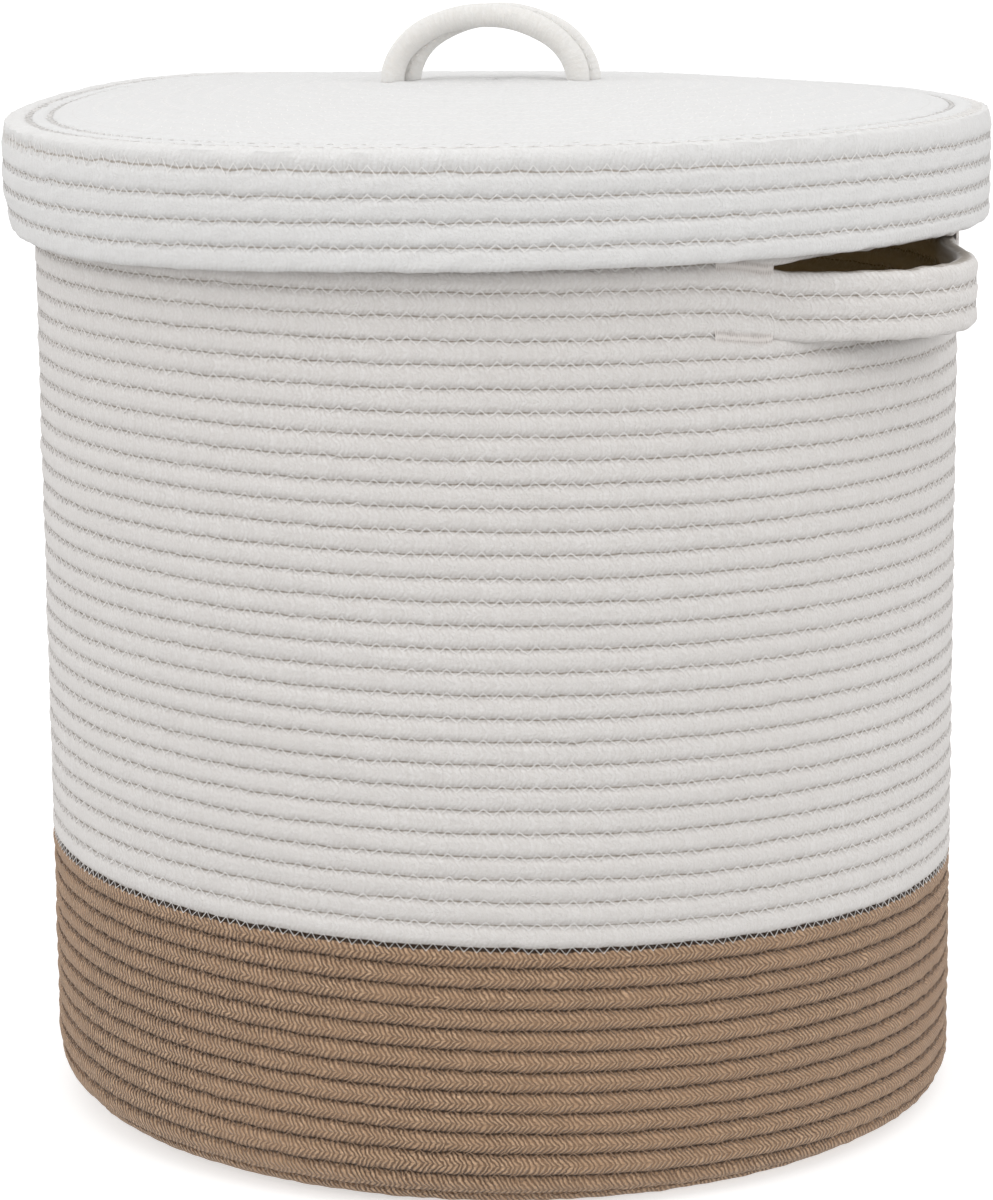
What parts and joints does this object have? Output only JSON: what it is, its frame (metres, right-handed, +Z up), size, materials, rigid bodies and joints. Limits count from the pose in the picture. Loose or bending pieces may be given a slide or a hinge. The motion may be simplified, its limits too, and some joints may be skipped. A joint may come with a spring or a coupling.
{
  "type": "laundry hamper with lid",
  "caption": "Round soft laundry hamper sewn from coiled cotton rope, with hand slots in the wall and a lift-off domed lid that has a rope loop.",
  "frame": {"origin": "centre of the underside, on the surface that the hamper stands on", "axes": "+Z up; the two side handles lie on -X and +X; +Y is square to both"},
  "size_m": [0.452, 0.426, 0.4755],
  "materials": {
    "white_rope": "matte braided cotton",
    "brown_rope": "matte braided cotton",
    "white_thread": "fine polyester thread",
    "brown_thread": "fine polyester thread"
  },
  "bodies": {
    "basket": {"base_coil": "brown_rope", "base_thread": "brown_thread", "lower_wall_front_coil": "brown_rope", "lower_wall_back_coil": "brown_rope", "lower_wall_thread": "brown_thread", "colour_join_thread": "white_thread", "upper_wall_front_coil": "white_rope", "upper_wall_back_coil": "white_rope", "upper_wall_thread": "white_thread", "front_band_coil": "white_rope", "back_band_coil": "white_rope", "band_thread": "white_thread", "right_handle": "white_rope", "left_handle": "white_rope", "right_handle_thread": "white_thread", "left_handle_thread": "white_thread", "handle_bar_tacks": "white_thread", "collar_coil": "white_rope", "collar_thread": "white_thread"},
    "lid": {"lid_disc_coil": "white_rope", "lid_disc_thread": "white_thread", "lid_skirt_coil": "white_rope", "lid_skirt_thread": "white_thread", "loop_feet": "white_rope", "loop_underside_stitches": "white_thread"},
    "lid_loop": {"loop_front_strand": "white_rope", "loop_back_strand": "white_rope", "loop_seam_thread": "white_thread"}
  },
  "joints": [
    {"name": "lid_lift", "type": "slide", "parent": "basket", "child": "lid", "axis": [0, 0, 1], "range_m": [0, 0.12]},
    {"name": "loop_lean", "type": "hinge", "parent": "lid", "child": "lid_loop", "pos_m": [0, 0, 0.44857], "axis": [0.8949, 0.4462, 0], "range_deg": [-30, 30], "stiffness_Nm_per_rad": 0.05}
  ]
}
